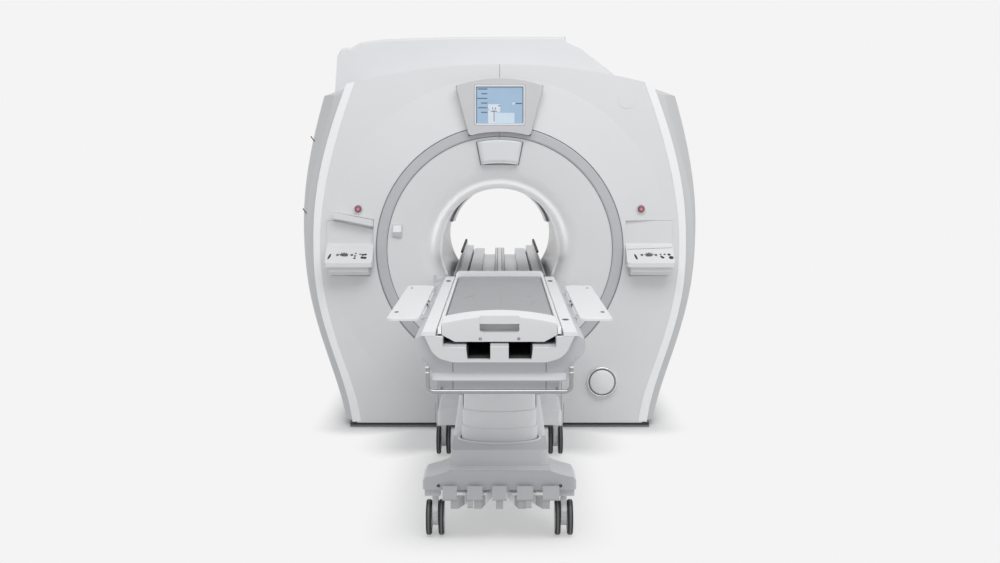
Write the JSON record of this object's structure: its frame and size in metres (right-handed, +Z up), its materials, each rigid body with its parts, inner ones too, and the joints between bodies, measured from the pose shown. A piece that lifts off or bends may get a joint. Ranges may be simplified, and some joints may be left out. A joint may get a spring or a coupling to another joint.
{
  "type": "mri scanner",
  "caption": "Whole-body MRI scanner: wide round bore in a bowed white cover, bridge through the bore, and a wheeled lifting patient table with sliding cradle and folding arm boards.",
  "frame": {"origin": "on the floor, under the middle of the whole object", "axes": "+Z up, +Y along the bore from the table's foot end to the rear, +X to the right seen from the table's foot end"},
  "size_m": [2.3836, 5.1805, 2.321],
  "materials": {
    "white_cover": "satin moulded cover",
    "pale_cover": "pale grey moulded cover",
    "ring_grey": "grey trim",
    "bezel_warm": "warm grey bezel",
    "screen": "lit display glass",
    "dark_plinth": "dark painted steel",
    "magnet_metal": "vacuum vessel",
    "coil_resin": "cast resin",
    "stop_red": "red button",
    "key_grey": "key cap",
    "dark_trim": "dark trim",
    "black_rubber": "matt rubber",
    "tyre_black": "caster tread",
    "shroud_grey": "grey moulded shroud",
    "base_grey": "grey base cover",
    "steel_paint": "painted steel",
    "pedal_white": "pale pedal",
    "handle_chrome": "polished tube",
    "bridge_pale": "pale composite",
    "cradle_pale": "pale composite tray",
    "pad_grey": "grey coated cushion"
  },
  "bodies": {
    "gantry": {"front_cover": "white_cover", "ring_trim": "ring_grey", "bore_flare": "white_cover", "bore_tube": "white_cover", "edge_stripes": "white_cover", "side_cover_right": "pale_cover", "side_cover_left": "pale_cover", "top_housing": "pale_cover", "rear_cover": "white_cover", "base_plinth": "dark_plinth", "magnet": "magnet_metal", "gradient_coil": "coil_resin", "display_bezel": "bezel_warm", "display_screen": "screen", "landmark_light": "white_cover", "disc_block": "white_cover", "estop_collars": "white_cover", "port_dome": "white_cover", "control_left": "white_cover", "control_right": "white_cover", "side_catches": "dark_trim", "bridge": "bridge_pale", "bridge_strips": "black_rubber", "rear_pedestal": "pale_cover", "dock_panel": "white_cover"},
    "table_base": {"table_base": "base_grey", "head_base_cover": "white_cover", "lower_sleeve": "white_cover"},
    "mid_sleeve": {"middle_sleeve": "white_cover"},
    "table_top": {"upper_sleeve": "white_cover", "table_frame": "shroud_grey", "deck": "white_cover", "end_fascia": "white_cover", "push_handle": "handle_chrome"},
    "cradle": {"cradle": "cradle_pale", "cradle_pad": "pad_grey", "foot_panel": "cradle_pale"},
    "board_left": {"arm_board_left": "white_cover"},
    "board_right": {"arm_board_right": "white_cover"},
    "swivel_foot_left": {"fork_foot_left": "steel_paint"},
    "roller_foot_left": {"wheels_foot_left": "tyre_black"},
    "swivel_foot_right": {"fork_foot_right": "steel_paint"},
    "roller_foot_right": {"wheels_foot_right": "tyre_black"},
    "swivel_head_left": {"fork_head_left": "steel_paint"},
    "roller_head_left": {"wheels_head_left": "tyre_black"},
    "swivel_head_right": {"fork_head_right": "steel_paint"},
    "roller_head_right": {"wheels_head_right": "tyre_black"},
    "pedal_1": {"pedal_1": "pedal_white"},
    "pedal_2": {"pedal_2": "pedal_white"},
    "pedal_3": {"pedal_3": "pedal_white"},
    "pedal_4": {"pedal_4": "pedal_white"},
    "pedal_5": {"pedal_5": "pedal_white"},
    "stop_left": {"estop_left": "stop_red"},
    "stop_right": {"estop_right": "stop_red"},
    "key_outer_left": {"key_outer_left": "key_grey"},
    "key_rocker_left": {"key_rocker_left": "key_grey"},
    "key_inner_left": {"key_inner_left": "key_grey"},
    "key_outer_right": {"key_outer_right": "key_grey"},
    "key_rocker_right": {"key_rocker_right": "key_grey"},
    "key_inner_right": {"key_inner_right": "key_grey"}
  },
  "joints": [
    {"name": "table_undock", "type": "slide", "parent": "gantry", "child": "table_base", "axis": [0, 1, 0], "range_m": [-1, 0]},
    {"name": "table_lift", "type": "slide", "parent": "table_base", "child": "table_top", "axis": [0, 0, 1], "range_m": [-0.2, 0]},
    {"name": "sleeve_lift", "type": "slide", "parent": "table_base", "child": "mid_sleeve", "axis": [0, 0, 1], "range_m": [-0.1, 0]},
    {"name": "cradle_travel", "type": "slide", "parent": "table_top", "child": "cradle", "axis": [0, 1, 0], "range_m": [0, 1.7]},
    {"name": "board_left_fold", "type": "hinge", "parent": "table_top", "child": "board_left", "pos_m": [-0.353, -1.44975, 0.883], "axis": [0, 1, 0], "range_deg": [-90, 0]},
    {"name": "board_right_fold", "type": "hinge", "parent": "table_top", "child": "board_right", "pos_m": [0.353, -1.44975, 0.883], "axis": [0, -1, 0], "range_deg": [-90, 0]},
    {"name": "swivel_foot_left", "type": "hinge", "parent": "table_base", "child": "swivel_foot_left", "pos_m": [-0.274, -2.30675, 0.1], "axis": [0, 0, 1], "continuous": true},
    {"name": "roll_foot_left", "type": "hinge", "parent": "swivel_foot_left", "child": "roller_foot_left", "pos_m": [-0.274, -2.34175, 0.075], "axis": [1, 0, 0], "continuous": true},
    {"name": "swivel_foot_right", "type": "hinge", "parent": "table_base", "child": "swivel_foot_right", "pos_m": [0.274, -2.30675, 0.1], "axis": [0, 0, 1], "continuous": true},
    {"name": "roll_foot_right", "type": "hinge", "parent": "swivel_foot_right", "child": "roller_foot_right", "pos_m": [0.274, -2.34175, 0.075], "axis": [1, 0, 0], "continuous": true},
    {"name": "swivel_head_left", "type": "hinge", "parent": "table_base", "child": "swivel_head_left", "pos_m": [-0.302, -0.87475, 0.1], "axis": [0, 0, 1], "continuous": true},
    {"name": "roll_head_left", "type": "hinge", "parent": "swivel_head_left", "child": "roller_head_left", "pos_m": [-0.302, -0.90975, 0.075], "axis": [1, 0, 0], "continuous": true},
    {"name": "swivel_head_right", "type": "hinge", "parent": "table_base", "child": "swivel_head_right", "pos_m": [0.302, -0.87475, 0.1], "axis": [0, 0, 1], "continuous": true},
    {"name": "roll_head_right", "type": "hinge", "parent": "swivel_head_right", "child": "roller_head_right", "pos_m": [0.302, -0.90975, 0.075], "axis": [1, 0, 0], "continuous": true},
    {"name": "pedal_1_press", "type": "hinge", "parent": "table_base", "child": "pedal_1", "pos_m": [0, -2.36975, 0.196], "axis": [1, 0, 0], "range_deg": [0, 12], "stiffness_Nm_per_rad": 8, "springref_deg": -5.73},
    {"name": "pedal_2_press", "type": "hinge", "parent": "table_base", "child": "pedal_2", "pos_m": [0, -2.36975, 0.196], "axis": [1, 0, 0], "range_deg": [0, 12], "stiffness_Nm_per_rad": 8, "springref_deg": -5.73},
    {"name": "pedal_3_press", "type": "hinge", "parent": "table_base", "child": "pedal_3", "pos_m": [0, -2.36975, 0.196], "axis": [1, 0, 0], "range_deg": [0, 12], "stiffness_Nm_per_rad": 8, "springref_deg": -5.73},
    {"name": "pedal_4_press", "type": "hinge", "parent": "table_base", "child": "pedal_4", "pos_m": [0, -2.36975, 0.196], "axis": [1, 0, 0], "range_deg": [0, 12], "stiffness_Nm_per_rad": 8, "springref_deg": -5.73},
    {"name": "pedal_5_press", "type": "hinge", "parent": "table_base", "child": "pedal_5", "pos_m": [0, -2.36975, 0.196], "axis": [1, 0, 0], "range_deg": [0, 12], "stiffness_Nm_per_rad": 8, "springref_deg": -5.73},
    {"name": "stop_left_press", "type": "slide", "parent": "gantry", "child": "stop_left", "axis": [0, 1, 0], "range_m": [0, 0.004]},
    {"name": "stop_right_press", "type": "slide", "parent": "gantry", "child": "stop_right", "axis": [0, 1, 0], "range_m": [0, 0.004]},
    {"name": "key_outer_left_press", "type": "slide", "parent": "gantry", "child": "key_outer_left", "axis": [0, 0.6265, -0.7794], "range_m": [0, 0.0015], "stiffness_N_per_m": 300, "springref_m": -0.0006},
    {"name": "key_rocker_left_press", "type": "slide", "parent": "gantry", "child": "key_rocker_left", "axis": [0, 0.6265, -0.7794], "range_m": [0, 0.0015], "stiffness_N_per_m": 300, "springref_m": -0.0006},
    {"name": "key_inner_left_press", "type": "slide", "parent": "gantry", "child": "key_inner_left", "axis": [0, 0.6265, -0.7794], "range_m": [0, 0.0015], "stiffness_N_per_m": 300, "springref_m": -0.0006},
    {"name": "key_outer_right_press", "type": "slide", "parent": "gantry", "child": "key_outer_right", "axis": [0, 0.6265, -0.7794], "range_m": [0, 0.0015], "stiffness_N_per_m": 300, "springref_m": -0.0006},
    {"name": "key_rocker_right_press", "type": "slide", "parent": "gantry", "child": "key_rocker_right", "axis": [0, 0.6265, -0.7794], "range_m": [0, 0.0015], "stiffness_N_per_m": 300, "springref_m": -0.0006},
    {"name": "key_inner_right_press", "type": "slide", "parent": "gantry", "child": "key_inner_right", "axis": [0, 0.6265, -0.7794], "range_m": [0, 0.0015], "stiffness_N_per_m": 300, "springref_m": -0.0006}
  ],
  "couplings": [
    {"joint": "sleeve_lift", "follows": "table_lift", "ratio": 0.5}
  ]
}
